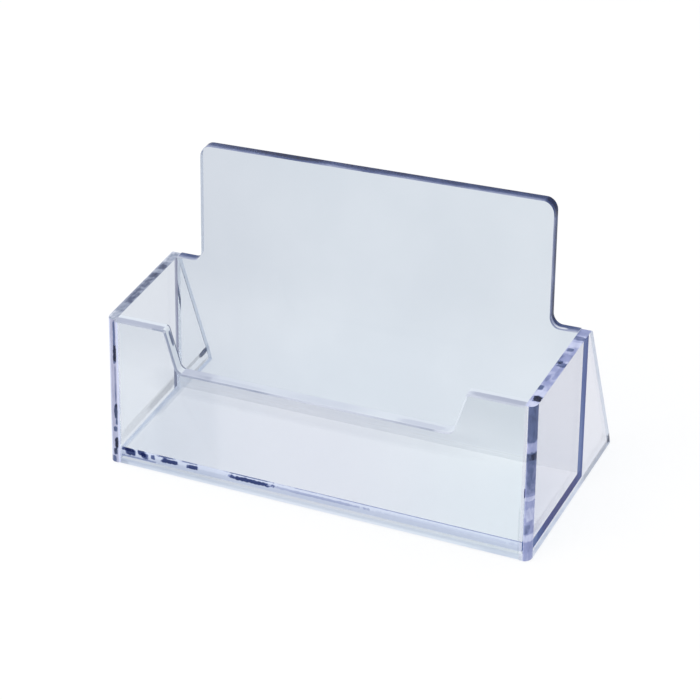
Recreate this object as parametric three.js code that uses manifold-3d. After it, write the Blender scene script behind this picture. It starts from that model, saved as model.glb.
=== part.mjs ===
// Clear desk holder for business cards. A notched front wall and a tall back plate lean back
// alike between two side walls, over a floor that sits just clear of the desk.
// Millimetres, +Z up. X runs across the front, Y from the front to the back.
// Heights are measured from the desk, and depths from the foot of the front wall.

import * as THREE from 'three';
import { mergeVertices } from 'three/addons/utils/BufferGeometryUtils.js';
import Module from 'manifold-3d';

const wasm = await Module();
wasm.setup();

// Driving dimensions
const WIDTH = 100; // over both side walls
const DEPTH = 40; // foot of the front wall to the ends of the rear feet
const HEIGHT = 31; // level tops of the side walls, front lips and shoulders
const LEAN = THREE.MathUtils.degToRad(17.5); // of the front wall and back plate, from upright

const SIDE_THICKNESS = 2.3;
const FRONT_THICKNESS = 2.1;
const BACK_THICKNESS = 2;
const FLOOR_THICKNESS = 2;
const FLOOR_LIFT = 0.6; // clearance under the floor, so that only the walls' rims touch the desk
const POCKET = 21.7; // room for the stack of cards, square to the leaning walls

const CORNER_RADIUS = 1.5; // upright outer corners at the front
const FOOT_HEIGHT = 2.4; // blunt end of each rear foot
const SHOULDER_RADIUS = 0.8; // rear top corner of each side wall
const RIM_RADIUS = 0.9; // front top edge of the lips and side walls

const TONGUE_RISE = 24.8; // back plate above the side walls
const TONGUE_INSET = 8.5; // each side of the tongue, from the outside of the holder
const TONGUE_RADIUS = 2.5; // its upper corners
const TONGUE_FILLET = 2.2; // where it grows out of the shoulders

const LIP_WIDTH = 14.8; // front wall left standing on each side, from the outside of the holder
const NOTCH_DEPTH = 8.5;
const NOTCH_SPLAY = 3.1; // how far each sloping end of the notch runs inwards
const NOTCH_FILLET = 1.6; // in the bottom corners of the notch
const LIP_RADIUS = 0.9; // on the inner top corner of each lip

const CUT_OVERRUN = 1; // how far a blank stands past the outline that trims it
const ARC_STEPS = 6;

// Sizes that follow
const INNER_HALF = WIDTH / 2 - SIDE_THICKNESS;
const FLOOR_TOP = FLOOR_LIFT + FLOOR_THICKNESS;
const TONGUE_TOP = HEIGHT + TONGUE_RISE;
const leanRun = Math.tan(LEAN);
const levelSpan = (thickness) => thickness / Math.cos(LEAN);
const FRONT_INNER = levelSpan(FRONT_THICKNESS);
const BACK_INNER = FRONT_INNER + levelSpan(POCKET);
const BACK_OUTER = BACK_INNER + levelSpan(BACK_THICKNESS);
const RIM_DEPTH = HEIGHT * leanRun; // front edge of the level tops
const SHOULDER_DEPTH = BACK_OUTER + RIM_DEPTH;
const REACH = Math.max(DEPTH, BACK_OUTER + TONGUE_TOP * leanRun);

const leanBack = new THREE.Matrix4().makeShear(0, 0, 0, 0, 0, leanRun);

const clearPlastic = new THREE.MeshStandardMaterial({
  color: 0xd9e3f2,
  roughness: 0.06,
  metalness: 0,
  transparent: true,
  opacity: 0.35,
});

// An outline through [across, up, radius] corners, each rounded by an arc of its radius.
function roundedOutline(corners) {
  const shape = new THREE.Shape();
  const points = corners.map(([across, up]) => new THREE.Vector2(across, up));
  corners.forEach(([, , radius], i) => {
    const corner = points[i];
    const back = points.at(i - 1).clone().sub(corner).normalize();
    const ahead = points[(i + 1) % points.length].clone().sub(corner).normalize();
    const halfAngle = Math.acos(back.dot(ahead)) / 2;
    const reach = radius / Math.tan(halfAngle);
    const start = corner.clone().addScaledVector(back, reach);
    const end = corner.clone().addScaledVector(ahead, reach);
    if (i === 0) {
      shape.moveTo(start.x, start.y);
    } else {
      shape.lineTo(start.x, start.y);
    }
    if (radius > 0) {
      const middle = back.clone().add(ahead).normalize();
      const centre = corner.clone().addScaledVector(middle, radius / Math.sin(halfAngle));
      const from = start.clone().sub(centre).angle();
      const to = end.clone().sub(centre).angle();
      shape.absarc(centre.x, centre.y, radius, from, to, back.cross(ahead) > 0);
    }
  });
  shape.closePath();
  return shape;
}

function extrude(shape, depth) {
  return new THREE.ExtrudeGeometry(shape, { depth, bevelEnabled: false, curveSegments: ARC_STEPS });
}

// A wall drawn as seen from the front, its front face at frontDepth on the desk, leaning back.
function leaningWall(shape, frontDepth, thickness) {
  const span = levelSpan(thickness);
  const wall = extrude(shape, span);
  wall.rotateX(Math.PI / 2);
  wall.translate(0, frontDepth + span, 0);
  wall.applyMatrix4(leanBack);
  return wall;
}

// A shape drawn as seen from the right, [depth, height], extruded across from x = left.
function acrossFrom(shape, left, span) {
  const solid = extrude(shape, span);
  solid.rotateX(Math.PI / 2);
  solid.rotateZ(Math.PI / 2);
  solid.translate(left, 0, 0);
  return solid;
}

// The holder's side-on outline; its front runs just clear of the leaning walls below the rounded rim.
function sideOutline() {
  return roundedOutline([
    [-CUT_OVERRUN, 0, 0],
    [DEPTH, 0, 0],
    [DEPTH, FOOT_HEIGHT, 0],
    [SHOULDER_DEPTH, HEIGHT, SHOULDER_RADIUS],
    [RIM_DEPTH, HEIGHT, RIM_RADIUS],
  ]);
}

// What of a blank, which reaches from x = left over span, lies inside the side-on outline.
function trimToOutline(blank, left, span) {
  const trim = acrossFrom(sideOutline(), left - CUT_OVERRUN, span + 2 * CUT_OVERRUN);
  return toGeometry(toSolid(blank).intersect(toSolid(trim)));
}

function toSolid(geometry) {
  const bare = geometry.clone();
  bare.deleteAttribute('normal');
  bare.deleteAttribute('uv');
  const merged = mergeVertices(bare);
  return new wasm.Manifold(new wasm.Mesh({
    numProp: 3,
    vertProperties: new Float32Array(merged.attributes.position.array),
    triVerts: new Uint32Array(merged.index.array),
  }));
}

function toGeometry(solid) {
  const { numProp, vertProperties, triVerts } = solid.getMesh();
  const geometry = new THREE.BufferGeometry();
  geometry.setAttribute('position', new THREE.BufferAttribute(vertProperties, numProp));
  geometry.setIndex(new THREE.BufferAttribute(triVerts, 1));
  const faceted = geometry.toNonIndexed();
  faceted.computeVertexNormals();
  return faceted;
}

// Floor: its front end lies against the front wall, and the back plate stands on its rear end.
function floorPanel() {
  const frontEnd = (height) => FRONT_INNER + height * leanRun;
  const rearEnd = (height) => BACK_OUTER + height * leanRun;
  const section = roundedOutline([
    [frontEnd(FLOOR_LIFT), FLOOR_LIFT, 0],
    [rearEnd(FLOOR_LIFT), FLOOR_LIFT, 0],
    [rearEnd(FLOOR_TOP), FLOOR_TOP, 0],
    [frontEnd(FLOOR_TOP), FLOOR_TOP, 0],
  ]);
  return acrossFrom(section, -INNER_HALF, 2 * INNER_HALF);
}

// Front wall: stands on the desk between the side walls, with a splayed notch to thumb cards out.
function frontWall() {
  const lipEnd = WIDTH / 2 - LIP_WIDTH;
  const notchEnd = lipEnd - NOTCH_SPLAY;
  const notchFloor = HEIGHT - NOTCH_DEPTH;
  const outline = roundedOutline([
    [-INNER_HALF, 0, 0],
    [INNER_HALF, 0, 0],
    [INNER_HALF, HEIGHT, 0],
    [lipEnd, HEIGHT, LIP_RADIUS],
    [notchEnd, notchFloor, NOTCH_FILLET],
    [-notchEnd, notchFloor, NOTCH_FILLET],
    [-lipEnd, HEIGHT, LIP_RADIUS],
    [-INNER_HALF, HEIGHT, 0],
  ]);
  return trimToOutline(leaningWall(outline, 0, FRONT_THICKNESS), -INNER_HALF, 2 * INNER_HALF);
}

// Back plate: fills the width up to the shoulders, then narrows to a tongue as tall as a card.
function backPlate() {
  const tongueHalf = WIDTH / 2 - TONGUE_INSET;
  const outline = roundedOutline([
    [-INNER_HALF, FLOOR_TOP, 0],
    [INNER_HALF, FLOOR_TOP, 0],
    [INNER_HALF, HEIGHT, 0],
    [tongueHalf, HEIGHT, TONGUE_FILLET],
    [tongueHalf, TONGUE_TOP, TONGUE_RADIUS],
    [-tongueHalf, TONGUE_TOP, TONGUE_RADIUS],
    [-tongueHalf, HEIGHT, TONGUE_FILLET],
    [-INNER_HALF, HEIGHT, 0],
  ]);
  return leaningWall(outline, BACK_INNER, BACK_THICKNESS);
}

// Side wall: a leaning blank with its outer front corner rounded, trimmed to the side-on outline,
// which carries on behind the back plate as a triangular wing down to the rear foot.
function sideWall(side) {
  const outer = side * WIDTH / 2;
  const inner = side * INNER_HALF;
  const plan = [
    [outer, 0, CORNER_RADIUS],
    [outer, 2 * DEPTH, 0],
    [inner, 2 * DEPTH, 0],
    [inner, 0, 0],
  ];
  const blank = extrude(roundedOutline(side > 0 ? plan : plan.reverse()), HEIGHT + 2 * CUT_OVERRUN);
  blank.translate(0, 0, -CUT_OVERRUN);
  blank.applyMatrix4(leanBack);
  return trimToOutline(blank, Math.min(outer, inner), SIDE_THICKNESS);
}

const holder = new THREE.Group();
holder.position.y = -REACH / 2; // the origin is on the desk, under the middle of the whole holder

function addPanel(name, geometry) {
  const panel = new THREE.Mesh(geometry, clearPlastic);
  panel.name = name;
  holder.add(panel);
}

addPanel('floor', floorPanel());
addPanel('front_wall', frontWall());
addPanel('back_plate', backPlate());
addPanel('left_side_wall', sideWall(-1));
addPanel('right_side_wall', sideWall(1));

export default holder;
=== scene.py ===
import math

import bmesh
import bpy
from mathutils import Matrix, Vector


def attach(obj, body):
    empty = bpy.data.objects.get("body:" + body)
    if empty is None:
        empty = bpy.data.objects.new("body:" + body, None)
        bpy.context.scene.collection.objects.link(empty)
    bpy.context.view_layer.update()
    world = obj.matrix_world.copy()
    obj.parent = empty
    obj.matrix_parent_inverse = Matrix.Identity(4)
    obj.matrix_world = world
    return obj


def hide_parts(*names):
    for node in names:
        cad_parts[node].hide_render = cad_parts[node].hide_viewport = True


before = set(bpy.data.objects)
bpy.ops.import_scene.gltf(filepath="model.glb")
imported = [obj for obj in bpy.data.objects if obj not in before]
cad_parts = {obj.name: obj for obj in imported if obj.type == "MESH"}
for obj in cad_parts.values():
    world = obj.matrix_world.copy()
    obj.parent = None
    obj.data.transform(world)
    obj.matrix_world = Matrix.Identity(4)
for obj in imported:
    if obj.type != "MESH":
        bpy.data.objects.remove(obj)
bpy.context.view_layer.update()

mm = 0.001

# Sizes that the five bonded panels share, in millimetres, as in the CAD source
holder = {
    "width": 100,
    "height": 31,
    "rearFoot": 40,
    "lean": math.radians(17.5),
    "sideThickness": 2.3,
    "frontThickness": 2.1,
    "backThickness": 2.0,
    "pocket": 21.7,
    "floorLift": 0.6,
    "floorThickness": 2.0,
    "tongueRise": 24.8,
    "bondGap": 0.03,  # hairline left in each glued joint
    "bead": 0.45,  # how far the glue runs out in front of the back plate
    "leftBead": 1.1,  # the grey bead of the left corner, which runs out further
    "arcSteps": 10,
}
leanRun = math.tan(holder["lean"])
outerHalf = holder["width"] / 2
innerHalf = outerHalf - holder["sideThickness"]
height = holder["height"]
floorTop = holder["floorLift"] + holder["floorThickness"]
tongueTop = height + holder["tongueRise"]


def levelSpan(thickness):
    return thickness / math.cos(holder["lean"])


# Depths are measured level, from the leaning front face
frontInner = levelSpan(holder["frontThickness"])
backInner = frontInner + levelSpan(holder["pocket"])
backOuter = backInner + levelSpan(holder["backThickness"])
plateJointStart = backInner - holder["bead"]
leftBeadStart = backInner - holder["leftBead"]
originDepth = (backOuter + tongueTop * leanRun) / 2
print("frame loaded, sizes worked out")


def newGroup(name, inputs, outputs):
    group = bpy.data.node_groups.new(name, "ShaderNodeTree")
    for socketName, kind, value in inputs:
        socket = group.interface.new_socket(socketName, in_out="INPUT", socket_type="NodeSocket" + kind)
        socket.default_value = value
    for socketName, kind in outputs:
        group.interface.new_socket(socketName, in_out="OUTPUT", socket_type="NodeSocket" + kind)
    return group, group.nodes.new("NodeGroupInput").outputs, group.nodes.new("NodeGroupOutput").inputs


def feed(tree, value, socket):
    if isinstance(value, bpy.types.NodeSocket):
        tree.links.new(value, socket)
    else:
        socket.default_value = value


def calc(tree, operation, *values, clamp=False):
    node = tree.nodes.new("ShaderNodeMath")
    node.operation = operation
    node.use_clamp = clamp
    for value, socket in zip(values, node.inputs):
        feed(tree, value, socket)
    return node.outputs[0]


def vector(tree, operation, *values):
    node = tree.nodes.new("ShaderNodeVectorMath")
    node.operation = operation
    for value, socket in zip(values, node.inputs):
        feed(tree, value, socket)
    return node.outputs["Value" if operation == "LENGTH" else "Vector"]


def split(tree, value):
    node = tree.nodes.new("ShaderNodeSeparateXYZ")
    tree.links.new(value, node.inputs[0])
    return node.outputs


def ramp(tree, value, fromMin, fromMax, toMin=0.0, toMax=1.0):
    node = tree.nodes.new("ShaderNodeMapRange")
    node.interpolation_type = "SMOOTHSTEP"
    for socketName, v in (
        ("Value", value), ("From Min", fromMin), ("From Max", fromMax), ("To Min", toMin), ("To Max", toMax),
    ):
        feed(tree, v, node.inputs[socketName])
    return node.outputs["Result"]


def blendColor(tree, factor, first, second):
    node = tree.nodes.new("ShaderNodeMix")
    node.data_type = "RGBA"
    for value, index in ((factor, 0), (first, 6), (second, 7)):
        feed(tree, value, node.inputs[index])
    return node.outputs[2]


def blendShader(tree, share, first, second):
    node = tree.nodes.new("ShaderNodeMixShader")
    for value, socket in zip((share, first, second), node.inputs):
        tree.links.new(value, socket)
    return node.outputs[0]


def noise(tree, place, scale, detail, roughness, distortion=0.0):
    node = tree.nodes.new("ShaderNodeTexNoise")
    feed(tree, place, node.inputs["Vector"])
    feed(tree, scale, node.inputs["Scale"])
    node.inputs["Detail"].default_value = detail
    node.inputs["Roughness"].default_value = roughness
    node.inputs["Distortion"].default_value = distortion
    return node.outputs["Fac"]


def useGroup(tree, group, **values):
    node = tree.nodes.new("ShaderNodeGroup")
    node.node_tree = group
    for socketName, value in values.items():
        feed(tree, value, node.inputs[socketName])
    return node.outputs


# Clouding, ripple and hairline scratches of a clear sheet; sizes are in mm and scales per mm
sheetGrain = {
    "cloudSize": 26.0,
    "cloudEdge": (0.35, 0.65),
    "rippleScale": 0.16,
    "scratchScale": (0.12, 3.0, 1.6),
    "scratchEdge": (0.66, 0.74),
    "polish": 0.008,  # roughness of the clean sheet, to which scratches and clouds add
    "scratchRoughness": 0.05,
    "cloudRoughness": 0.012,
}


def buildSheetSurface():
    group, given, result = newGroup(
        "sheetSurface",
        [("Place", "Vector", (0, 0, 0)), ("CloudSize", "Float", sheetGrain["cloudSize"])],
        [("Cloud", "Float"), ("Roughness", "Float"), ("Height", "Float")],
    )
    place = given["Place"]
    cloud = noise(group, place, calc(group, "DIVIDE", 1.0, given["CloudSize"]), detail=3.0, roughness=0.55)
    ripple = noise(group, place, sheetGrain["rippleScale"], detail=1.0, roughness=0.4)
    strokes = vector(group, "MULTIPLY", place, sheetGrain["scratchScale"])
    scratch = ramp(group, noise(group, strokes, 1.0, detail=4.0, roughness=0.6), *sheetGrain["scratchEdge"])
    rough = calc(group, "MULTIPLY_ADD", scratch, sheetGrain["scratchRoughness"], sheetGrain["polish"])
    rough = calc(group, "MULTIPLY_ADD", cloud, sheetGrain["cloudRoughness"], rough)
    group.links.new(cloud, result["Cloud"])
    group.links.new(rough, result["Roughness"])
    group.links.new(ripple, result["Height"])
    return group


smudgeShape = {
    "rim": 1.15,  # shares of Size, where the patch starts and where it is full
    "full": 0.7,
    "wobbleScale": 1.1,  # per mm
    "uneven": 1.1,  # how far the rim wanders where a look doesn't say
}


# Adds to Under a soft patch of Strength round Centre; a long Size makes it a stripe
def buildSmudge():
    group, given, result = newGroup(
        "smudge",
        [
            ("Place", "Vector", (0, 0, 0)), ("Centre", "Vector", (0, 0, 0)),
            ("Size", "Vector", (1, 1, 1)), ("Strength", "Float", 1.0),
            ("Wobble", "Float", 0.0), ("Under", "Float", 0.0),
        ],
        [("Tone", "Float")],
    )
    away = vector(group, "SUBTRACT", given["Place"], given["Centre"])
    away = vector(group, "DIVIDE", away, given["Size"])
    away = calc(group, "SQRT", vector(group, "LENGTH", vector(group, "MULTIPLY", away, away)))
    away = calc(group, "ADD", away, given["Wobble"])
    patch = ramp(group, away, smudgeShape["rim"], smudgeShape["full"])
    group.links.new(calc(group, "MULTIPLY_ADD", patch, given["Strength"], given["Under"]), result["Tone"])
    return group


edgeGrain = {
    "patchSwing": 2.2,
    "mottleSwing": 0.7,
    "mottleFineness": 5.0,  # times finer than the patches
    "polish": 0.02,  # roughness, to which the mottle adds
    "mottleRoughness": 0.08,
}


# Colour of a polished edge from its Tone, 0 for Pale to 1 for Ink, which also varies in patches. The dark and
# pale patches are painted reflection: they stand in for the dark and light surroundings that a clear edge
# mirrors and refracts, and partly for the real blue of light that runs through the sheet
def buildEdgeTone():
    group, given, result = newGroup(
        "edgeTone",
        [
            ("Place", "Vector", (0, 0, 0)), ("Tone", "Float", 0.5),
            ("Stretch", "Vector", (1, 1, 1)), ("PatchSize", "Float", 5.0),
            ("Contrast", "Float", 1.0),
            ("Pale", "Color", (0.7, 0.75, 0.85, 1)),
            ("Lilac", "Color", (0.3, 0.33, 0.55, 1)),
            ("Slate", "Color", (0.05, 0.08, 0.2, 1)),
            ("Ink", "Color", (0.001, 0.003, 0.02, 1)),
        ],
        [("Color", "Color"), ("Roughness", "Float"), ("Height", "Float")],
    )
    place = vector(group, "MULTIPLY", given["Place"], given["Stretch"])
    scale = calc(group, "DIVIDE", 1.0, given["PatchSize"])
    patches = noise(group, place, scale, detail=1.5, roughness=0.5, distortion=0.4)
    fineScale = calc(group, "MULTIPLY", scale, edgeGrain["mottleFineness"])
    mottle = noise(group, place, fineScale, detail=3.0, roughness=0.6)
    swing = calc(group, "MULTIPLY", calc(group, "SUBTRACT", patches, 0.5), edgeGrain["patchSwing"])
    fleck = calc(group, "SUBTRACT", mottle, 0.5)
    swing = calc(group, "MULTIPLY_ADD", fleck, edgeGrain["mottleSwing"], swing)
    tone = calc(group, "MULTIPLY_ADD", swing, given["Contrast"], given["Tone"])
    color = given["Pale"]
    for name, start, end in (("Lilac", 0.0, 0.33), ("Slate", 0.33, 0.66), ("Ink", 0.66, 1.0)):
        color = blendColor(group, ramp(group, tone, start, end), color, given[name])
    rough = calc(group, "MULTIPLY_ADD", mottle, edgeGrain["mottleRoughness"], edgeGrain["polish"])
    group.links.new(color, result["Color"])
    group.links.new(rough, result["Roughness"])
    group.links.new(mottle, result["Height"])
    return group


sheetSurface = buildSheetSurface()
smudge = buildSmudge()
edgeTone = buildEdgeTone()

plastic = {
    "ior": 1.49,
    "firstDepth": 1.5,  # before so many bounces a face takes its own tint, and after it the far one
    "escapeDepth": 4.5,  # light caught between the two faces of a sheet leaks out after so many bounces
    "escapeTint": (0.86, 0.885, 0.925, 1),
    "glueHaze": 0.05,
    "glueTint": (0.992, 0.995, 0.998, 1),
    "glueCloud": 6.0,  # mm
}
# Ripple is in mm; mirror is the share of the reflections kept; throughLight is what a lamp keeps at each face
sheetFinish = {
    "ripple": 0.002, "transmission": 1.0, "specular": 0.5, "mirror": (0.2, 0.2, 0.2, 1),
    "throughLight": (0.90, 0.93, 0.96, 1),
}
cutFinish = {
    "ripple": 0.01, "transmission": 0.12, "specular": 0.25, "mirror": (1, 1, 1, 1),
    "throughLight": (0.62, 0.66, 0.76, 1),
}
jointFinish = {**cutFinish, "transmission": 0.0, "specular": 0.0}

# Palettes from Pale to Ink for the painted edges, joints, tops and feet; their darker tones are painted
# reflection of dark surroundings seen in clear edges, partly the real blue of thick plastic
blueEdge = {
    "Pale": (0.58, 0.62, 0.83, 1),
    "Lilac": (0.28, 0.315, 0.55, 1),
    "Slate": (0.08, 0.11, 0.24, 1),
    "Ink": (0.002, 0.005, 0.028, 1),
}
greyEdge = {
    "Pale": (0.58, 0.62, 0.72, 1),
    "Lilac": (0.26, 0.30, 0.41, 1),
    "Slate": (0.07, 0.09, 0.17, 1),
    "Ink": (0.003, 0.006, 0.02, 1),
}
jointEdge = {
    "Pale": (0.62, 0.67, 0.80, 1),
    "Lilac": (0.13, 0.21, 0.46, 1),
    "Slate": (0.015, 0.068, 0.30, 1),
    "Ink": (0.0, 0.002, 0.18, 1),
}
topFace = {
    "Pale": (0.66, 0.71, 0.78, 1),
    "Lilac": (0.54, 0.58, 0.68, 1),
    "Slate": (0.34, 0.37, 0.48, 1),
    "Ink": (0.10, 0.12, 0.20, 1),
}
plateEdge = {
    "Pale": (0.70, 0.73, 0.80, 1),
    "Lilac": (0.22, 0.255, 0.41, 1),
    "Slate": (0.034, 0.058, 0.17, 1),
    "Ink": (0.0, 0.004, 0.045, 1),
}
cornerGrey = {
    "Pale": (0.66, 0.68, 0.76, 1),
    "Lilac": (0.32, 0.32, 0.42, 1),
    "Slate": (0.10, 0.11, 0.19, 1),
    "Ink": (0.01, 0.012, 0.05, 1),
}
footEdge = {
    "Pale": (0.84, 0.86, 0.90, 1),
    "Lilac": (0.52, 0.56, 0.68, 1),
    "Slate": (0.25, 0.28, 0.40, 1),
    "Ink": (0.03, 0.04, 0.10, 1),
}
dashEdge = {
    "Pale": (0.80, 0.83, 0.93, 1),
    "Lilac": (0.36, 0.40, 0.60, 1),
    "Slate": (0.08, 0.11, 0.26, 1),
    "Ink": (0.0, 0.01, 0.09, 1),
}


def newMaterial(name):
    material = bpy.data.materials.new(name)
    material.use_nodes = True
    material.node_tree.nodes.clear()
    return material, material.node_tree


def showShader(tree, shader):
    tree.links.new(shader, tree.nodes.new("ShaderNodeOutputMaterial").inputs["Surface"])


# A material, its tree, and each point's place in mm: across, level depth behind the front face, height
def startMaterial(name):
    material, tree = newMaterial(name)
    coordinates = tree.nodes.new("ShaderNodeTexCoord").outputs["Object"]
    x, y, z = split(tree, vector(tree, "MULTIPLY", coordinates, (1 / mm, 1 / mm, 1 / mm)))
    depth = calc(tree, "MULTIPLY_ADD", z, -leanRun, y)
    depth = calc(tree, "ADD", depth, originDepth)
    place = tree.nodes.new("ShaderNodeCombineXYZ")
    for value, socket in zip((x, depth, z), place.inputs):
        tree.links.new(value, socket)
    return material, tree, place.outputs[0]


# Adds up a look's ramps, each (axis, from, to, change), and its smudges, each (centre, size, strength)
def toneOf(tree, place, look):
    tone = look["tone"]
    along = dict(zip(("x", "depth", "z"), split(tree, place)))
    for axis, start, end, change in look.get("ramps", ()):
        tone = calc(tree, "ADD", ramp(tree, along[axis], start, end, 0, change), tone)
    if "smudges" in look:
        wobble = noise(tree, place, smudgeShape["wobbleScale"], detail=2.0, roughness=0.6)
        wobble = calc(tree, "SUBTRACT", wobble, 0.5)
        wobble = calc(tree, "MULTIPLY", wobble, look.get("uneven", smudgeShape["uneven"]))
        for centre, size, strength in look["smudges"]:
            tone = useGroup(
                tree, smudge, Place=place, Centre=centre, Size=size,
                Strength=strength, Wobble=wobble, Under=tone,
            )["Tone"]
    return tone


# Plastic that lets lamps through, so that it casts the light shadow of clear sheet
def finishPlastic(tree, color, surface, finish):
    bump = tree.nodes.new("ShaderNodeBump")
    bump.inputs["Distance"].default_value = finish["ripple"] * mm
    tree.links.new(surface["Height"], bump.inputs["Height"])
    body = tree.nodes.new("ShaderNodeBsdfPrincipled")
    tree.links.new(color, body.inputs["Base Color"])
    tree.links.new(surface["Roughness"], body.inputs["Roughness"])
    tree.links.new(bump.outputs["Normal"], body.inputs["Normal"])
    body.inputs["IOR"].default_value = plastic["ior"]
    body.inputs["Specular IOR Level"].default_value = finish["specular"]
    body.inputs["Specular Tint"].default_value = finish["mirror"]
    body.inputs["Transmission Weight"].default_value = finish["transmission"]
    clear = tree.nodes.new("ShaderNodeBsdfTransparent")
    clear.inputs["Color"].default_value = finish["throughLight"]
    leak = tree.nodes.new("ShaderNodeBsdfTransparent")
    leak.inputs["Color"].default_value = plastic["escapeTint"]
    path = tree.nodes.new("ShaderNodeLightPath")
    trapped = calc(tree, "GREATER_THAN", path.outputs["Ray Depth"], plastic["escapeDepth"])
    shader = body.outputs[0]
    for share, through in (
        (path.outputs["Is Diffuse Ray"], clear), (path.outputs["Is Shadow Ray"], clear), (trapped, leak),
    ):
        shader = blendShader(tree, share, shader, through.outputs[0])
    showShader(tree, shader)


# A sheet tinted from left to right; seen through another sheet it takes the far tint instead
def clearFinish(name, look):
    material, tree, place = startMaterial(name)
    surface = useGroup(tree, sheetSurface, Place=place, CloudSize=look["cloudSize"])
    x = split(tree, place)[0]
    tint = blendColor(tree, ramp(tree, x, -outerHalf, 0.0), look["left"], look["middle"])
    tint = blendColor(tree, ramp(tree, x, 0.0, outerHalf), tint, look["right"])
    cloudy = vector(tree, "MULTIPLY", tint, look["cloudy"])
    tint = blendColor(tree, ramp(tree, surface["Cloud"], *sheetGrain["cloudEdge"]), tint, cloudy)
    shade = calc(tree, "MINIMUM", toneOf(tree, place, look), 1.0)
    near = blendColor(tree, shade, tint, look["shade"])
    far = blendColor(tree, shade, look["far"], look["shade"])
    path = tree.nodes.new("ShaderNodeLightPath")
    first = calc(tree, "LESS_THAN", path.outputs["Ray Depth"], plastic["firstDepth"])
    finishPlastic(tree, blendColor(tree, first, far, near), surface, sheetFinish)
    return material


# A glued joint: the two panels are one to the eye, but for the faint haze of the glue
def bondFinish(name):
    material, tree, place = startMaterial(name)
    surface = useGroup(tree, sheetSurface, Place=place, CloudSize=plastic["glueCloud"])
    body = tree.nodes.new("ShaderNodeBsdfPrincipled")
    body.inputs["Base Color"].default_value = plastic["glueTint"]
    body.inputs["IOR"].default_value = plastic["ior"]
    body.inputs["Transmission Weight"].default_value = 1.0
    tree.links.new(surface["Roughness"], body.inputs["Roughness"])
    tree.links.new(calc(tree, "MULTIPLY", surface["Cloud"], plastic["glueHaze"]), body.inputs["Alpha"])
    showShader(tree, body.outputs[0])
    return material


def edgeFinish(name, look, finish=cutFinish):
    material, tree, place = startMaterial(name)
    surface = useGroup(
        tree, edgeTone, Place=place, Tone=toneOf(tree, place, look), Stretch=look["stretch"],
        PatchSize=look["patchSize"], Contrast=look["contrast"], **look["colors"],
    )
    finishPlastic(tree, surface["Color"], surface, finish)
    return material


# Metres, within which points and slivers of a mesh close up
tolerance = {"weld": 1e-6, "exact": 1e-7}


# Points of an outline through (across, up, radius) corners, each rounded by its radius
def roundedOutline(corners):
    points = []
    count = len(corners)
    for i, (across, up, radius) in enumerate(corners):
        corner = Vector((across, up))
        if radius == 0:
            points.append(corner)
            continue
        back = (Vector(corners[i - 1][:2]) - corner).normalized()
        ahead = (Vector(corners[(i + 1) % count][:2]) - corner).normalized()
        half = math.acos(max(-1, min(1, back.dot(ahead)))) / 2
        centre = corner + (back + ahead).normalized() * (radius / math.sin(half))
        start = corner + back * (radius / math.tan(half))
        end = corner + ahead * (radius / math.tan(half))
        fromAngle = math.atan2(*(start - centre).yx)
        turn = math.atan2(*(end - centre).yx) - fromAngle
        turn = (turn + math.pi) % (2 * math.pi) - math.pi
        for step in range(holder["arcSteps"] + 1):
            angle = fromAngle + turn * step / holder["arcSteps"]
            points.append(centre + radius * Vector((math.cos(angle), math.sin(angle))))
    return points


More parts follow.
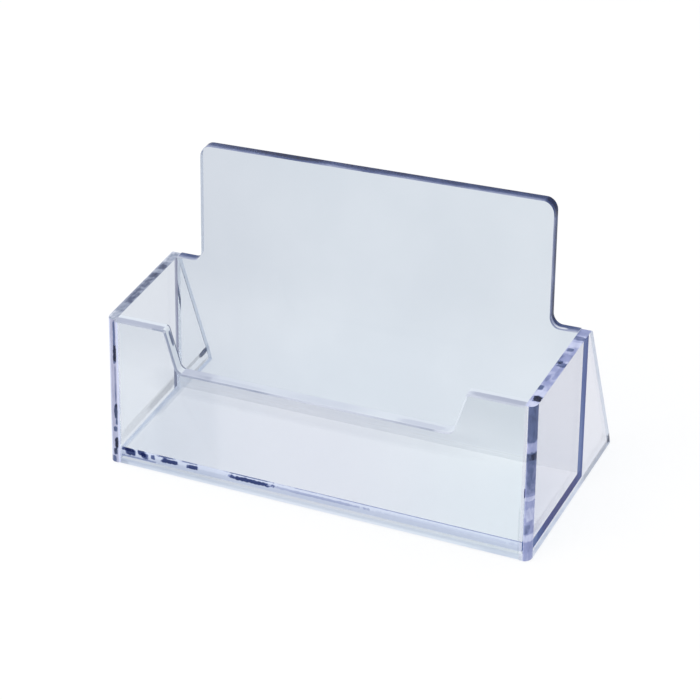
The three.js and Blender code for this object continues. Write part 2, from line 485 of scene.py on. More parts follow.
# Geometry Nodes: a flat outline becomes a wall of one thickness that leans back, with level cut edges
def buildWallTree():
    tree = bpy.data.node_groups.new("leaningWall", "GeometryNodeTree")
    face = tree.interface
    face.new_socket("Geometry", in_out="INPUT", socket_type="NodeSocketGeometry")
    for socketName, kind in (
        ("Foot depth", "Float"), ("Span", "Float"), ("Lean run", "Float"),
        ("Faces", "Material"), ("Edges", "Material"),
    ):
        face.new_socket(socketName, in_out="INPUT", socket_type="NodeSocket" + kind)
    face.new_socket("Geometry", in_out="OUTPUT", socket_type="NodeSocketGeometry")
    nodes, links = tree.nodes, tree.links
    given = nodes.new("NodeGroupInput")
    result = nodes.new("NodeGroupOutput")

    offset = nodes.new("ShaderNodeCombineXYZ")
    links.new(given.outputs["Span"], offset.inputs["Y"])
    extrude = nodes.new("GeometryNodeExtrudeMesh")
    extrude.inputs["Individual"].default_value = False
    links.new(given.outputs["Geometry"], extrude.inputs["Mesh"])
    links.new(offset.outputs[0], extrude.inputs["Offset"])
    extrude.inputs["Offset Scale"].default_value = 1.0
    flip = nodes.new("GeometryNodeFlipFaces")
    links.new(given.outputs["Geometry"], flip.inputs["Mesh"])
    join = nodes.new("GeometryNodeJoinGeometry")
    links.new(extrude.outputs["Mesh"], join.inputs[0])
    links.new(flip.outputs[0], join.inputs[0])
    weld = nodes.new("GeometryNodeMergeByDistance")
    weld.inputs["Distance"].default_value = tolerance["weld"]
    links.new(join.outputs[0], weld.inputs["Geometry"])

    position = nodes.new("GeometryNodeInputPosition")
    parts = nodes.new("ShaderNodeSeparateXYZ")
    links.new(position.outputs[0], parts.inputs[0])
    run = nodes.new("ShaderNodeMath")
    run.operation = "MULTIPLY_ADD"
    links.new(parts.outputs["Z"], run.inputs[0])
    links.new(given.outputs["Lean run"], run.inputs[1])
    links.new(given.outputs["Foot depth"], run.inputs[2])
    shift = nodes.new("ShaderNodeCombineXYZ")
    links.new(run.outputs[0], shift.inputs["Y"])
    lean = nodes.new("GeometryNodeSetPosition")
    links.new(weld.outputs[0], lean.inputs["Geometry"])
    links.new(shift.outputs[0], lean.inputs["Offset"])

    realize = nodes.new("GeometryNodeRealizeInstances")
    links.new(lean.outputs[0], realize.inputs[0])
    faces = nodes.new("GeometryNodeSetMaterial")
    links.new(realize.outputs[0], faces.inputs["Geometry"])
    links.new(given.outputs["Faces"], faces.inputs["Material"])
    edges = nodes.new("GeometryNodeSetMaterial")
    links.new(faces.outputs[0], edges.inputs["Geometry"])
    links.new(extrude.outputs["Side"], edges.inputs["Selection"])
    links.new(given.outputs["Edges"], edges.inputs["Material"])
    links.new(edges.outputs[0], result.inputs[0])
    return tree


wallTree = buildWallTree()
print("shader groups and wall tree ready")


def setInput(modifier, socketName, value):
    for item in modifier.node_group.interface.items_tree:
        if item.item_type == "SOCKET" and item.in_out == "INPUT" and item.name == socketName:
            modifier[item.identifier] = value


# Replaces the mesh by its evaluated copy, without the modifiers
def bake(obj):
    obj.data.polygons.foreach_set("use_smooth", [True] * len(obj.data.polygons))
    graph = bpy.context.evaluated_depsgraph_get()
    mesh = bpy.data.meshes.new_from_object(
        obj.evaluated_get(graph), preserve_all_data_layers=True, depsgraph=graph
    )
    obj.modifiers.clear()
    obj.data = mesh
    mesh.name = obj.name


def openMesh(obj):
    work = bmesh.new()
    work.from_mesh(obj.data)
    return work


def storeMesh(work, mesh):
    work.to_mesh(mesh)
    work.free()


# Across, level depth behind the leaning front face, and height, in mm
def placeOf(point):
    x, y, z = point / mm
    return Vector((x, y - z * leanRun + originDepth, z))


edgeRounding = {"sharpFrom": math.radians(30), "segments": 4}


# Rounds each sharp edge by the width, in mm, that widthOf gives for its two ends
def roundEdges(obj, widthOf):
    work = openMesh(obj)
    bmesh.ops.remove_doubles(work, verts=work.verts, dist=tolerance["exact"])
    bmesh.ops.recalc_face_normals(work, faces=work.faces)
    layer = work.edges.layers.float.new("bevel_weight_edge")
    sharp = [edge for edge in work.edges if edge.calc_face_angle(0) > edgeRounding["sharpFrom"]]
    widths = [widthOf(*(placeOf(vert.co) for vert in edge.verts)) for edge in sharp]
    widest = max(widths)
    for edge, width in zip(sharp, widths):
        edge[layer] = width / widest
        edge.smooth = width > 0
    storeMesh(work, obj.data)
    bevel = obj.modifiers.new("roundEdges", "BEVEL")
    bevel.width = widest * mm
    bevel.segments = edgeRounding["segments"]
    bevel.limit_method = "WEIGHT"
    bevel.harden_normals = True
    bake(obj)
    work = openMesh(obj)  # a rounding leaves slivers where it ends
    bmesh.ops.dissolve_degenerate(work, dist=tolerance["weld"], edges=work.edges)
    storeMesh(work, obj.data)


# In mm, how near to a face a point counts as on it, and an edge as along it
nearFace = 0.01
nearEdge = 0.1
# How a face is turned, as the least share of its normal in one direction
turned = {
    "square": 0.9,  # one of the flat sides
    "flat": 0.85,
    "level": 0.72,  # a top, and not its rounding
    "upward": 0.6,
    "sloping": 0.35,  # a rounding, and not the wall below it
    "partly": 0.3,
    "aside": 0.1,
    "barely": 0.01,
}


# Gives the material to each face that passes test, by its place and its normal
def repaint(obj, material, test):
    obj.data.materials.append(material)
    slot = len(obj.data.materials) - 1
    for polygon in obj.data.polygons:
        if test(placeOf(polygon.center), polygon.normal):
            polygon.material_index = slot


# Planes, each (point, direction) in mm, at a height or at a depth behind the leaning front face
def levelCut(z):
    return (0, 0, z), (0, 0, 1)


def leanCut(depth):
    return (0, depth - originDepth, 0), (0, math.cos(holder["lean"]), -math.sin(holder["lean"]))


# Divides the faces that test picks along planes, so that a joint can be painted
def cutFace(obj, test, planes):
    work = openMesh(obj)
    for point, direction in planes:
        picked = [polygon for polygon in work.faces if test(placeOf(polygon.calc_center_median()))]
        parts = {part for polygon in picked for part in (*polygon.verts, *polygon.edges, polygon)}
        bmesh.ops.bisect_plane(
            work, geom=list(parts), dist=tolerance["exact"],
            plane_co=Vector(point) * mm, plane_no=Vector(direction),
        )
    storeMesh(work, obj.data)


def newObject(name, data):
    obj = bpy.data.objects.new(name, data)
    bpy.context.scene.collection.objects.link(obj)
    return obj


# The prism between two copies of a section of (depth, height) points, at two places across
def prism(section, places):
    work = bmesh.new()
    rings = [[work.verts.new((x, y, z)) for y, z in section] for x in places]
    for ring in rings:
        work.faces.new(ring)
    for i in range(len(section)):
        j = (i + 1) % len(section)
        work.faces.new((rings[0][i], rings[0][j], rings[1][j], rings[1][i]))
    return work


# A panel cut to an outline seen from the front
def leaningPanel(name, outline, footDepth, thickness, faceMaterial, edgeMaterial):
    mesh = bpy.data.meshes.new(name)
    mesh.from_pydata([(x * mm, 0, z * mm) for x, z in outline], [], [list(range(len(outline)))])
    obj = newObject(name, mesh)
    wall = obj.modifiers.new("leaningWall", "NODES")
    wall.node_group = wallTree
    setInput(wall, "Foot depth", (footDepth - originDepth) * mm)
    setInput(wall, "Span", levelSpan(thickness) * mm)
    setInput(wall, "Lean run", leanRun)
    setInput(wall, "Faces", faceMaterial)
    setInput(wall, "Edges", edgeMaterial)
    bake(obj)
    return obj


def declare(obj, node):
    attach(obj, "root")
    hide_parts(node)


frontWall = {
    "lipWidth": 14.8,
    "notchDepth": 8.5,
    "notchSplay": 3.1,
    "notchFillet": 1.6,
    "lipRadius": 0.9,
    "rounding": 0.2,
    "frontRounding": 0.45,
    "footReach": 1,  # height of the band that counts as the foot
    "cornerSpill": 0.6,  # how far the left corner's paint runs on over the front face
    "topReach": 0.4,  # how far below the floor of the notch its paint may start
    "hairReach": 0.5,  # the same for the hairline, and as much of it turns up each end of the right cut
    "lipReach": 2,  # how far down from the top the lips' front rounding is sought
    "clear": {
        "left": (0.765, 0.805, 0.86, 1),
        "middle": (0.84, 0.86, 0.915, 1),
        "right": (0.865, 0.925, 0.955, 1),
        "far": (0.992, 0.995, 0.998, 1),
        "cloudy": (0.975, 0.98, 0.985),
        "cloudSize": 30.0,
        "tone": 0.0,
        "shade": (0.22, 0.27, 0.36, 1),
        "uneven": 0.1,
        "ramps": [("z", 22.0, 29.0, 0.1)],
        "smudges": [
            ((-30.0, 0.0, 10.0), (8.0, 1.0, 16.0), 0.11),
            ((-42.0, 0.0, 28.5), (10.0, 1.0, 7.0), 0.12),
            ((42.0, 0.0, 28.5), (10.0, 1.0, 7.0), 0.12),
            ((0.0, 0.0, 20.5), (40.0, 1.0, 3.0), 0.23),
            ((47.5, 0.0, 6.0), (0.2, 1.0, 5.0), 0.3),  # hairline beside the right corner
            ((1.0, 0.0, 1.75), (56.0, 1.0, 1.2), 0.45),  # in front of the floor's edge
            ((-46.6, 0.0, 0.3), (1.6, 1.0, 0.6), 0.5),
        ],
    },
    "lipEdge": {
        "colors": greyEdge,
        "tone": 0.14,
        "ramps": [("x", 20.0, 34.0, -0.05)],
        "contrast": 0.1,
        "stretch": (0.5, 1.0, 1.0),
        "patchSize": 4.0,
        "smudges": [((-36.8, 0.5, 31.0), (1.6, 2.0, 2.0), 0.12)],
    },
    "cutEdge": {
        "colors": {**greyEdge, "Pale": (0.70, 0.75, 0.81, 1)},
        "tone": -0.05,
        "contrast": 0.08,
        "stretch": (1.0, 1.0, 1.0),
        "patchSize": 4.0,
        "uneven": 0.2,
        "smudges": [
            ((-33.5, 0.1, 26.0), (5.0, 0.25, 8.0), 0.36),
            ((-33.5, 2.1, 26.0), (5.0, 0.3, 8.0), 0.6),
            ((-34.7, 1.4, 28.6), (1.2, 0.4, 1.6), 0.55),
        ],
    },
    "topEdge": {
        "colors": topFace,
        "tone": 0.0,
        "ramps": [("z", 26.0, 24.0, 0.2), ("x", 5.0, 18.0, -0.12)],
        "smudges": [
            ((-42.0, 0.6, 31.0), (9.0, 0.7, 1.0), 0.55),
            ((42.5, 0.6, 31.0), (8.0, 0.7, 1.0), 0.62),
            ((-30.0, 1.0, 22.5), (7.0, 2.0, 1.0), 0.24),
            ((-19.0, 0.6, 22.5), (8.0, 0.5, 1.0), 0.1),
            ((25.5, 0.7, 22.5), (5.5, 0.7, 1.0), 0.2),
        ],
        "uneven": 0.3,
        "contrast": 0.1,
        "stretch": (0.3, 1.0, 1.0),
        "patchSize": 6.0,
    },
    "footEdge": {
        "colors": footEdge,
        "tone": 0.12,
        "contrast": 0.16,
        "stretch": (0.12, 1.0, 1.0),
        "patchSize": 3.0,
        "ramps": [("x", -50.0, -20.0, -0.12), ("x", 25.0, 50.0, 0.12)],
    },
    "hairline": {
        "colors": greyEdge,
        "tone": 0.23,
        "contrast": 0.1,
        "stretch": (0.3, 1.0, 1.0),
        "patchSize": 3.0,
        "ramps": [
            ("depth", 0.8, 1.4, -0.4), ("x", -14.0, -5.0, -0.15),
            ("x", 8.0, 18.0, 0.1), ("x", 27.5, 30.5, -0.3),
        ],
    },
    "floorJoint": {
        "colors": dashEdge,
        "tone": 0.02,
        "contrast": 0.05,
        "stretch": (0.15, 1.0, 1.0),
        "patchSize": 2.0,
        "smudges": [
            ((2.0, 2.4, 1.7), (12.0, 9.0, 0.3), 0.18),
            ((30.0, 2.4, 1.75), (18.0, 9.0, 0.3), 0.08),
            ((26.0, 2.4, 2.55), (34.0, 9.0, 0.14), 0.33),
            ((-46.0, 2.4, 2.4), (1.6, 9.0, 0.5), 0.7),
            ((-45.2, 2.4, 1.8), (1.4, 9.0, 0.7), 0.8),
            ((-42.5, 2.4, 2.2), (1.1, 9.0, 0.7), 0.8),
            ((-41.7, 2.4, 1.6), (0.9, 9.0, 0.6), 0.6),
            ((-39.5, 2.4, 1.8), (0.5, 9.0, 0.5), 0.55),
            ((-36.0, 2.4, 2.5), (2.3, 9.0, 0.25), 0.55),
            ((-35.2, 2.4, 1.7), (1.9, 9.0, 0.5), 0.8),
            ((-30.2, 2.4, 2.5), (2.0, 9.0, 0.2), 0.45),
            ((-29.5, 2.4, 1.7), (1.6, 9.0, 0.45), 0.8),
            ((-15.3, 2.4, 2.55), (5.6, 9.0, 0.2), 0.5),
            ((-15.3, 2.4, 1.7), (5.4, 9.0, 0.45), 0.8),
            ((-43.4, 2.4, 0.7), (5.0, 9.0, 0.3), 0.25),
        ],
    },
}


def buildFrontWall():
    half = innerHalf - holder["bondGap"]
    lipEnd = outerHalf - frontWall["lipWidth"]
    notchEnd = lipEnd - frontWall["notchSplay"]
    notchFloor = height - frontWall["notchDepth"]
    outline = roundedOutline([
        (-half, 0, 0), (half, 0, 0), (half, height, 0),
        (lipEnd, height, frontWall["lipRadius"]), (notchEnd, notchFloor, frontWall["notchFillet"]),
        (-notchEnd, notchFloor, frontWall["notchFillet"]), (-lipEnd, height, frontWall["lipRadius"]),
        (-half, height, 0),
    ])
    clear = clearFinish("clearFront", frontWall["clear"])
    wall = leaningPanel("frontWall", outline, 0, holder["frontThickness"], clear, clear)

    def onRear(at):
        return abs(at.y - frontInner) < nearFace

    cutFace(wall, onRear, [levelCut(holder["floorLift"]), levelCut(floorTop)])
    repaint(wall, bond, lambda at, normal: abs(at.x) > half - nearFace)
    repaint(
        wall, edgeFinish("floorFront", frontWall["floorJoint"], jointFinish),
        lambda at, normal: onRear(at) and holder["floorLift"] < at.z < floorTop,
    )
    cornerEnd = -outerHalf + sideWall["leftCorner"]["reach"] + frontWall["cornerSpill"]
    cutFace(wall, lambda at: at.y < nearFace, [((cornerEnd, 0, 0), (1, 0, 0))])
    repaint(wall, leftCorner, lambda at, normal: at.y < nearFace and at.x < cornerEnd)

    def widthOf(start, end):
        if min(abs(start.x), abs(end.x)) > half - nearFace:
            return 0
        onFrontTop = min(start.z, end.z) > frontWall["footReach"] and max(start.y, end.y) < nearEdge
        return frontWall["frontRounding"] if onFrontTop else frontWall["rounding"]

    roundEdges(wall, widthOf)
    repaint(
        wall, edgeFinish("topEdge", frontWall["topEdge"], jointFinish),
        lambda at, normal: at.z > notchFloor - frontWall["topReach"]
            and (normal.z > turned["level"] or normal.x < -turned["aside"]),
    )
    repaint(
        wall, edgeFinish("cutEdge", frontWall["cutEdge"]),
        lambda at, normal: at.z > notchFloor and at.x < 0 and normal.x > turned["aside"],
    )
    repaint(
        wall, footPaint,
        lambda at, normal: normal.z < -turned["sloping"] and at.z < frontWall["footReach"],
    )
    reach = frontWall["hairReach"]

    def onHairline(at, normal):
        onRightCut = at.x > 0 and notchFloor + reach < at.z < height - reach
        rounded = turned["sloping"] < normal.z < turned["level"] and abs(normal.x) < turned["partly"]
        return at.z > notchFloor - reach and rounded and not onRightCut

    repaint(wall, edgeFinish("hairline", frontWall["hairline"]), onHairline)
    repaint(
        wall, edgeFinish("lipEdge", frontWall["lipEdge"]),
        lambda at, normal: at.z > height - frontWall["lipReach"]
            and normal.y < -turned["aside"] and turned["sloping"] < normal.z < turned["flat"],
    )
    declare(wall, "front_wall")


backPlate = {
    "tongueInset": 8.5,
    "tongueRadius": 2.5,
    "tongueFillet": 2.2,
    "rounding": 0.22,
    "clear": {
        "left": (0.725, 0.77, 0.835, 1),
        "middle": (0.785, 0.84, 0.90, 1),
        "right": (0.80, 0.855, 0.91, 1),
        "far": (0.90, 0.91, 0.93, 1),
        "cloudy": (0.96, 0.965, 0.97),
        "cloudSize": 26.0,
        "tone": 0.15,
        "shade": (0.16, 0.20, 0.29, 1),
        "uneven": 0.2,
        "ramps": [("z", 34.0, 16.0, -0.08)],
        # Painted shade: a faint grey band along the foot of the plate, where it meets the floor
        "smudges": [((0.0, 24.9, 2.6), (60.0, 1.0, 1.0), 0.12)],
    },
    "edge": {
        "colors": plateEdge,
        "tone": 0.4,
        "contrast": 0.28,
        "stretch": (0.35, 1.0, 0.35),
        "patchSize": 3.0,
        "uneven": 0.3,
        "ramps": [("depth", 24.9, 26.3, 0.48)],
        "smudges": [
            ((-45.0, 26.0, 31.0), (4.0, 2.5, 3.0), -0.24),  # left shoulder
            ((46.0, 26.0, 31.0), (4.0, 2.5, 2.0), -0.2),  # right shoulder
            ((43.0, 25.7, 31.6), (2.4, 0.3, 1.6), -0.4),  # painted highlight: a light streak round the right fillet
            ((-41.5, 26.0, 42.0), (1.0, 2.5, 12.5), -1.3),  # left edge of the tongue
            ((-19.0, 26.0, 55.8), (9.0, 2.5, 2.0), 0.14),
            ((27.0, 26.0, 55.8), (14.0, 2.5, 2.0), -0.08),
            ((40.9, 26.5, 54.8), (1.6, 2.5, 2.2), 0.28),  # right upper corner
        ],
    },
}


def buildBackPlate():
    half = innerHalf - holder["bondGap"]
    foot = floorTop + holder["bondGap"]
    tongueHalf = outerHalf - backPlate["tongueInset"]
    outline = roundedOutline([
        (-half, foot, 0), (half, foot, 0), (half, height, 0),
        (tongueHalf, height, backPlate["tongueFillet"]), (tongueHalf, tongueTop, backPlate["tongueRadius"]),
        (-tongueHalf, tongueTop, backPlate["tongueRadius"]), (-tongueHalf, height, backPlate["tongueFillet"]),
        (-half, height, 0),
    ])
    clear = clearFinish("clearBack", backPlate["clear"])
    edges = edgeFinish("tongueEdge", backPlate["edge"])
    plate = leaningPanel("backPlate", outline, backInner, holder["backThickness"], clear, edges)
    repaint(plate, bond, lambda at, normal: abs(at.x) > half - nearFace or at.z < foot + nearFace)

    def widthOf(start, end):
        onEnd = min(abs(start.x), abs(end.x)) > half - nearFace
        return 0 if onEnd or max(start.z, end.z) < foot + nearFace else backPlate["rounding"]

    roundEdges(plate, widthOf)
    declare(plate, "back_plate")


floorPanel = {
    "rounding": 0.12,
    "clear": {
        "left": (0.80, 0.83, 0.88, 1),
        "middle": (0.80, 0.83, 0.88, 1),
        "right": (0.80, 0.83, 0.88, 1),
        "far": (0.992, 0.995, 0.998, 1),
        "cloudy": (0.98, 0.98, 0.985),
        "cloudSize": 22.0,
        "tone": 0.0,
        "shade": (0.45, 0.5, 0.6, 1),
        "uneven": 0.3,
        # Painted shadow: soft grey lines along the left wall, the shadow beneath seen through the floor
        "smudges": [
            ((-46.8, 20.0, 2.6), (1.4, 6.5, 1.0), 0.5),  # painted shadow along the left wall, from the back corner
            ((-47.2, 10.0, 2.6), (0.7, 8.0, 1.0), 0.06),
        ],
    },
}


# A level sheet; its front and rear ends are cut to the lean of the walls
def buildFloor():
    gap = holder["bondGap"]
    left = -innerHalf + gap
    section = [
        (frontInner + gap + holder["floorLift"] * leanRun, holder["floorLift"]),
        (backOuter + holder["floorLift"] * leanRun, holder["floorLift"]),
        (backOuter + floorTop * leanRun, floorTop),
        (frontInner + gap + floorTop * leanRun, floorTop),
    ]
    work = prism([((y - originDepth) * mm, z * mm) for y, z in section], (left * mm, -left * mm))
    bmesh.ops.recalc_face_normals(work, faces=work.faces)
    mesh = bpy.data.meshes.new("floorPanel")
    storeMesh(work, mesh)
    panel = newObject("floorPanel", mesh)
    clear = clearFinish("clearFloor", floorPanel["clear"])
    repaint(panel, clear, lambda at, normal: True)
    repaint(
        panel, bond,
        lambda at, normal: abs(normal.x) > turned["square"] or normal.y < -turned["square"],
    )
    cutFace(panel, lambda at: at.z > floorTop - nearFace, [leanCut(backInner)])
    repaint(panel, bond, lambda at, normal: at.z > floorTop - nearFace and at.y > backInner)

    def widthOf(start, end):
        onRear = min(start.y, end.y) > backOuter - nearEdge
        return floorPanel["rounding"] if onRear and abs(start.x - end.x) > nearEdge else 0

    roundEdges(panel, widthOf)
    declare(panel, "floor")


sideWall = {
    "cornerRadius": 1.5,
    "cornerSteps": 10,
    "footHeight": 2.4,
    "shoulderRadius": 0.8,
    "rounding": 0.3,
    "clear": {
        "left": (0.72, 0.755, 0.815, 1),
        "middle": (0.71, 0.74, 0.80, 1),
        "right": (0.77, 0.78, 0.85, 1),
        "far": (0.992, 0.995, 0.998, 1),
        "cloudy": (0.985, 0.985, 0.99),
        "cloudSize": 18.0,
        "tone": 0.0,
        "shade": (0.01, 0.015, 0.04, 1),
        "uneven": 0.5,
        # Painted shadow: the shadow cast on the ground along the wall's base and rear foot, seen through the
        # wall
        "smudges": [
            ((-50.0, 38.0, 2.6), (0.4, 1.9, 0.8), 1.0),  # painted contact shadow at the rear foot on the left, seen from inside
            ((-50.0, 32.5, 2.8), (0.4, 7.5, 0.5), 0.5),
            ((-50.0, 32.5, 0.3), (0.4, 7.5, 0.5), 0.45),
            ((-50.0, 15.0, 3.4), (0.4, 13.0, 1.2), 0.28),  # painted shadow line above the floor on the left
            ((-50.0, 21.0, 3.2), (0.4, 7.0, 0.9), 0.28),
            ((50.0, 39.0, 1.6), (0.4, 0.6, 1.0), 0.9),  # painted contact shadow at the rear foot on the right
            ((50.0, 32.5, 0.8), (0.4, 7.5, 0.9), 0.6),
        ],
    },
    # The rims and front corners are painted in navy and pale patches: painted reflection of the dark and
    # light surroundings that clear edges mirror, partly the blue of the plastic
    "rightRim": {
        "colors": blueEdge,
        "tone": 0.2,
        "contrast": 0.26,
        "stretch": (1.0, 0.8, 1.0),
        "patchSize": 1.8,
        "smudges": [
            ((48.9, 0.4, 31.0), (2.0, 1.6, 1.5), -0.15),
            ((49.1, 2.8, 31.0), (0.9, 0.9, 1.5), 0.95),
            ((49.0, 4.6, 31.0), (1.6, 1.1, 1.5), -0.15),
            ((48.1, 6.3, 31.0), (0.7, 0.8, 1.5), 0.5),
            ((49.2, 14.2, 31.0), (1.2, 0.8, 1.5), 0.45),
            ((48.2, 14.9, 31.0), (0.7, 0.6, 1.5), 0.35),
            ((48.9, 16.6, 31.0), (2.0, 1.4, 1.5), 0.22),
            ((49.4, 11.5, 31.0), (0.4, 2.4, 1.5), 0.2),
            ((48.2, 9.5, 31.0), (0.4, 1.2, 1.5), 0.25),
            ((48.6, 19.3, 31.0), (0.8, 0.6, 1.5), 0.4),
            ((48.9, 21.2, 31.0), (1.6, 0.9, 1.5), -0.15),
            ((48.7, 23.4, 31.0), (1.6, 0.7, 1.5), 0.4),
            ((48.9, 26.2, 31.0), (2.4, 1.9, 1.5), 0.2),
        ],
    },
    "leftRim": {
        "colors": greyEdge,
        "tone": 0.46,
        "contrast": 0.34,
        "stretch": (1.0, 0.8, 1.0),
        "patchSize": 0.9,
        "ramps": [("x", -49.2, -50.0, -0.2)],
        "smudges": [
            ((-48.9, 0.8, 31.0), (2.4, 2.6, 1.5), -0.2),
            ((-48.7, 7.5, 31.0), (0.8, 1.3, 1.5), 0.2),
            ((-48.8, 12.5, 31.0), (0.7, 4.0, 1.5), 0.1),
            ((-48.9, 17.3, 31.0), (1.0, 0.9, 1.5), 0.2),
            ((-48.9, 18.9, 31.0), (1.4, 0.5, 1.5), -0.15),
            ((-48.8, 20.6, 31.0), (0.9, 1.0, 1.5), 0.25),
            ((-48.9, 25.0, 31.0), (2.4, 2.6, 1.5), -0.25),
        ],
    },
    "rightCorner": {
        "reach": 1.5,
        "colors": blueEdge,
        "tone": 0.56,
        "contrast": 0.24,
        "stretch": (1.2, 1.2, 0.7),
        "patchSize": 1.5,
        "ramps": [("z", 16.0, 11.0, -0.24), ("z", 23.0, 25.0, 0.13), ("x", 48.8, 48.4, -0.2)],
        "smudges": [
            ((49.3, 0.5, 22.8), (2.0, 2.0, 1.1), -0.3),
            ((49.0, 0.5, 20.9), (1.4, 2.0, 0.8), 0.25),
            ((49.2, 0.3, 12.6), (1.6, 2.0, 0.5), -0.25),
            ((49.4, 0.6, 9.4), (0.9, 2.0, 1.3), -0.2),
            ((48.9, 0.3, 6.4), (0.8, 2.0, 1.1), 0.2),
            ((49.4, 0.3, 4.6), (1.0, 2.0, 0.8), -0.25),
            ((49.2, 0.3, 0.3), (2.2, 2.0, 1.4), -0.1),
        ],
    },
    "leftCorner": {
        "reach": 2.3,
        "colors": {**blueEdge, "Lilac": (0.37, 0.38, 0.53, 1)},
        "tone": 0.28,
        "contrast": 0.16,
        "stretch": (1.2, 1.0, 0.3),
        "patchSize": 2.0,
        "uneven": 0.9,
        "ramps": [("x", -47.7, -47.5, -0.5), ("x", -48.9, -49.3, -0.2)],
        "smudges": [
            ((-48.1, 0.1, 28.0), (0.3, 1.0, 3.0), 0.4),
            ((-48.0, 0.1, 23.6), (0.45, 1.0, 2.0), 0.8),
            ((-48.0, 0.1, 17.0), (0.25, 1.0, 5.0), 0.25),
            ((-48.0, 0.1, 11.2), (0.5, 1.0, 1.7), 0.6),
            ((-47.9, 0.1, 8.9), (0.3, 1.0, 0.6), 0.5),
            ((-48.2, 0.1, 7.3), (0.5, 1.0, 0.6), 0.5),
            ((-48.0, 0.1, 4.2), (0.5, 1.0, 1.3), 0.8),
            ((-48.3, 0.1, 2.4), (0.5, 1.0, 0.7), 0.6),
            ((-49.0, 0.1, 0.6), (0.9, 1.0, 0.8), 0.4),
        ],
    },
    "plateJoint": {
        "colors": jointEdge,
        "tone": 0.59,
        "contrast": 0.1,
        "stretch": (1.0, 1.0, 0.3),
        "patchSize": 4.0,
        "ramps": [("depth", 25.5, 26.8, 0.2), ("z", 20.0, 8.0, -0.15)],
    },
    "cornerBead": {
        "colors": cornerGrey,
        "tone": 0.18,
        "contrast": 0.08,
        "stretch": (1.0, 1.0, 0.2),
        "patchSize": 3.0,
        "ramps": [("depth", 24.3, 24.8, 0.15)],
    },
    "floorJoint": {
        "colors": jointEdge,
        "tone": 0.62,
        "contrast": 0.1,
        "stretch": (1.0, 0.3, 1.0),
        "patchSize": 3.0,
        "smudges": [((47.7, 17.0, 1.6), (1.0, 10.0, 3.0), 0.28), ((47.7, 3.0, 1.6), (1.0, 2.5, 2.0), -0.15)],
    },
    "wingEdge": {
        "colors": {**greyEdge, "Pale": (0.84, 0.86, 0.89, 1)},
        "tone": 0.0,
        "ramps": [("x", 40.0, 45.0, -0.2)],
        "contrast": 0.1,
        "stretch": (1.0, 1.0, 0.5),
        "patchSize": 4.0,
        "smudges": [
            # Painted contact shadow at the right rear foot
            ((48.8, 39.5, 0.8), (2.0, 1.2, 1.0), 0.6),
            ((-50.0, 33.0, 16.0), (0.3, 12.0, 18.0), 0.6),
        ],
    },
}


# A leaning shell: the profile seen from the side, with a rounded outer corner along its leaning front
def buildSideWall(side):
    name = "rightSideWall" if side > 0 else "leftSideWall"
    profile = roundedOutline([
        (0, 0, 0), (holder["rearFoot"], 0, 0), (holder["rearFoot"], sideWall["footHeight"], 0),
        (backOuter + height * leanRun, height, sideWall["shoulderRadius"]), (height * leanRun, height, 0),
    ])
    outer = side * outerHalf
    inner = side * innerHalf
    work = prism(profile, (inner, outer))
    squareToFront = Vector((0, 1, -leanRun)).normalized()
    radius = sideWall["cornerRadius"]
    for step in range(1, sideWall["cornerSteps"] + 1):
        depth = radius * (1 - math.cos(math.pi / 2 * step / sideWall["cornerSteps"]))
        whole = work.verts[:] + work.edges[:] + work.faces[:]
        bmesh.ops.bisect_plane(work, geom=whole, plane_co=(0, depth, 0), plane_no=squareToFront)
    for vert in work.verts:
        depth = vert.co.y - vert.co.z * leanRun
        if abs(vert.co.x - outer) < nearFace and depth < radius:
            drop = radius - math.sqrt(max(0, radius ** 2 - (radius - depth) ** 2))
            vert.co.x = outer - side * drop
    bmesh.ops.recalc_face_normals(work, faces=work.faces)
    for vert in work.verts:
        vert.co = Vector((vert.co.x, vert.co.y - originDepth, vert.co.z)) * mm
    mesh = bpy.data.meshes.new(name)
    storeMesh(work, mesh)
    wall = newObject(name, mesh)
    label = "right" if side > 0 else "left"

    def onInner(at):
        return abs(at.x - inner) < nearFace

    cuts = [leanCut(depth) for depth in (frontInner, leftBeadStart, plateJointStart, backInner, backOuter)]
    cutFace(wall, onInner, cuts + [levelCut(holder["floorLift"]), levelCut(floorTop)])
    repaint(wall, clearSide, lambda at, normal: True)
    rim = edgeFinish(label + "Rim", sideWall[label + "Rim"])
    repaint(wall, rim, lambda at, normal: normal.z > turned["upward"])
    repaint(wall, wingEdge, lambda at, normal: normal.y > turned["partly"] and normal.z < turned["upward"])
    repaint(wall, bond, lambda at, normal: onInner(at) and at.y < frontInner)
    repaint(wall, footPaint, lambda at, normal: normal.z < -turned["square"])
    # On the right the joints are painted dark blue: painted shade standing in for the dark seen far along the
    # back plate and floor through their ends, partly the blue of the plastic
    repaint(
        wall, plateJoint if side > 0 else bond,
        lambda at, normal: onInner(at) and plateJointStart < at.y < backOuter and at.z > floorTop,
    )
    if side < 0:
        repaint(
            wall, edgeFinish("cornerBead", sideWall["cornerBead"], jointFinish),
            lambda at, normal: onInner(at) and leftBeadStart < at.y < backInner and at.z > floorTop,
        )
    repaint(
        wall, floorJoint if side > 0 else bond,
        lambda at, normal:
            onInner(at) and frontInner < at.y < backOuter and holder["floorLift"] < at.z < floorTop,
    )
    reach = sideWall[label + "Corner"]["reach"]
    repaint(
        wall, rightCorner if side > 0 else leftCorner,
        lambda at, normal: at.y < radius and side * at.x > outerHalf - reach
            and normal.y < -turned["barely"] and abs(normal.z) < turned["upward"],
    )

    def widthOf(start, end):
        onFront = max(start.y, end.y) < nearEdge
        onBond = onFront and max(side * start.x, side * end.x) < innerHalf + nearFace
        return 0 if onBond else sideWall["rounding"]

    roundEdges(wall, widthOf)
    declare(wall, label + "_side_wall")


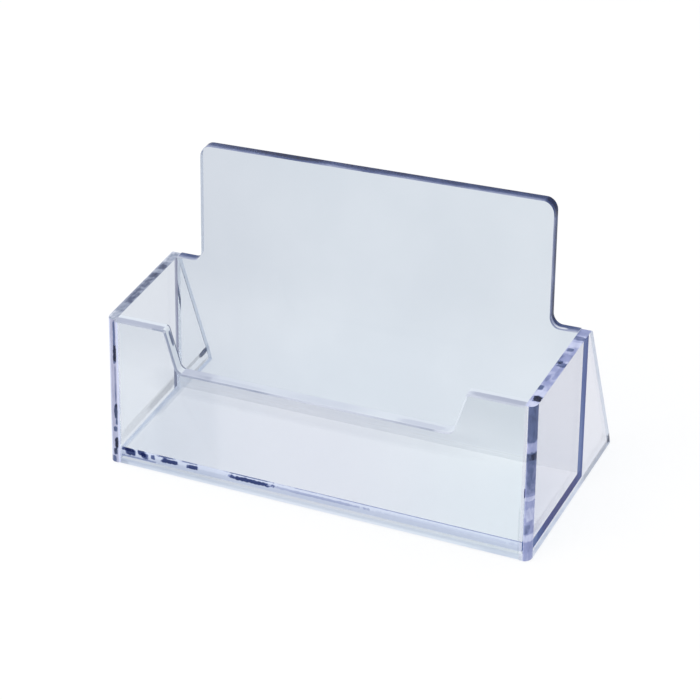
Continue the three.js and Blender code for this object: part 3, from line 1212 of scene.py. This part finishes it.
clearSide = clearFinish("clearSide", sideWall["clear"])
wingEdge = edgeFinish("wingEdge", sideWall["wingEdge"])
plateJoint = edgeFinish("plateJoint", sideWall["plateJoint"], jointFinish)
floorJoint = edgeFinish("floorJoint", sideWall["floorJoint"], jointFinish)
rightCorner = edgeFinish("rightCorner", sideWall["rightCorner"])
leftCorner = edgeFinish("leftCorner", sideWall["leftCorner"])
footPaint = edgeFinish("footEdge", frontWall["footEdge"], jointFinish)
bond = bondFinish("bond")
buildFloor()
buildFrontWall()
buildBackPlate()
buildSideWall(-1)
buildSideWall(1)
print("panels built")

studio = {
    "floorSize": 3.0,
    "floorWhite": (0.94, 0.94, 0.945, 1),
    "shadowShare": 0.3,  # of the floor's look that comes from its own shading
    "floorDrop": 0.0002,
    "worldLevel": 0.9,
    "lampPower": 2.2,
    "lampSize": 0.5,
    "lampPlace": (-0.35, -0.25, 0.75),
}


# 1 for rays that should meet the white background: from the eye, by reflection or through the plastic
def seenRays(tree):
    path = tree.nodes.new("ShaderNodeLightPath")
    seen = calc(tree, "ADD", path.outputs["Is Camera Ray"], path.outputs["Is Glossy Ray"], clamp=True)
    return calc(tree, "ADD", seen, path.outputs["Is Transmission Ray"], clamp=True)


def buildStage():
    mesh = bpy.data.meshes.new("studioFloor")
    half = studio["floorSize"] / 2
    corners = [(-half, -half, 0), (half, -half, 0), (half, half, 0), (-half, half, 0)]
    mesh.from_pydata(corners, [], [(0, 1, 2, 3)])
    floor = newObject("studioFloor", mesh)
    floor.location.z = -studio["floorDrop"]
    material, tree = newMaterial("studioFloor")
    paper = tree.nodes.new("ShaderNodeBsdfDiffuse")
    paper.inputs["Color"].default_value = studio["floorWhite"]
    white = tree.nodes.new("ShaderNodeEmission")
    white.inputs["Color"].default_value = (1, 1, 1, 1)
    share = calc(tree, "MULTIPLY", seenRays(tree), 1 - studio["shadowShare"])
    showShader(tree, blendShader(tree, share, paper.outputs[0], white.outputs[0]))
    mesh.materials.append(material)

    world = bpy.data.worlds.new("studio")
    bpy.context.scene.world = world
    world.use_nodes = True
    tree = world.node_tree
    background = tree.nodes["Background"]
    background.inputs["Color"].default_value = (1, 1, 1, 1)
    level = calc(tree, "MULTIPLY_ADD", seenRays(tree), 1 - studio["worldLevel"], studio["worldLevel"])
    tree.links.new(level, background.inputs["Strength"])

    lamp = bpy.data.lights.new("softbox", "AREA")
    lamp.size = studio["lampSize"]
    lamp.energy = studio["lampPower"]
    softbox = newObject("softbox", lamp)
    softbox.location = studio["lampPlace"]
    softbox.rotation_euler = (-Vector(studio["lampPlace"])).to_track_quat("-Z", "Y").to_euler()
    softbox.visible_glossy = False  # the plastic mirrors only the even white room
    softbox.visible_transmission = False


photoCamera = {
    "azimuth": math.radians(34.139),
    "elevation": math.radians(34.918),
    "roll": math.radians(-9.655),
    "place": (0.2143, -0.3138, 0.2900),
    "focalPixels": 2245.6,
    "framePixels": 700,
    "sensor": 36.0,
    "clipStart": 0.01,
}


def buildCamera():
    azimuth, elevation, roll = (photoCamera[key] for key in ("azimuth", "elevation", "roll"))
    back = Vector((
        math.sin(azimuth) * math.cos(elevation), -math.cos(azimuth) * math.cos(elevation), math.sin(elevation)
    ))
    right = Vector((math.cos(azimuth), math.sin(azimuth), 0))
    up = back.cross(right)
    tilted = math.cos(roll) * right + math.sin(roll) * up
    upright = -math.sin(roll) * right + math.cos(roll) * up
    data = bpy.data.cameras.new("photoCamera")
    data.sensor_width = photoCamera["sensor"]
    data.lens = photoCamera["focalPixels"] / photoCamera["framePixels"] * photoCamera["sensor"]
    data.clip_start = photoCamera["clipStart"]
    camera = newObject("photoCamera", data)
    camera.matrix_world = Matrix.Translation(photoCamera["place"]) @ Matrix(
        (tilted, upright, back)
    ).transposed().to_4x4()
    bpy.context.scene.camera = camera


buildStage()
buildCamera()
bpy.context.scene.view_settings.view_transform = "Standard"
print("stage, light and camera set")
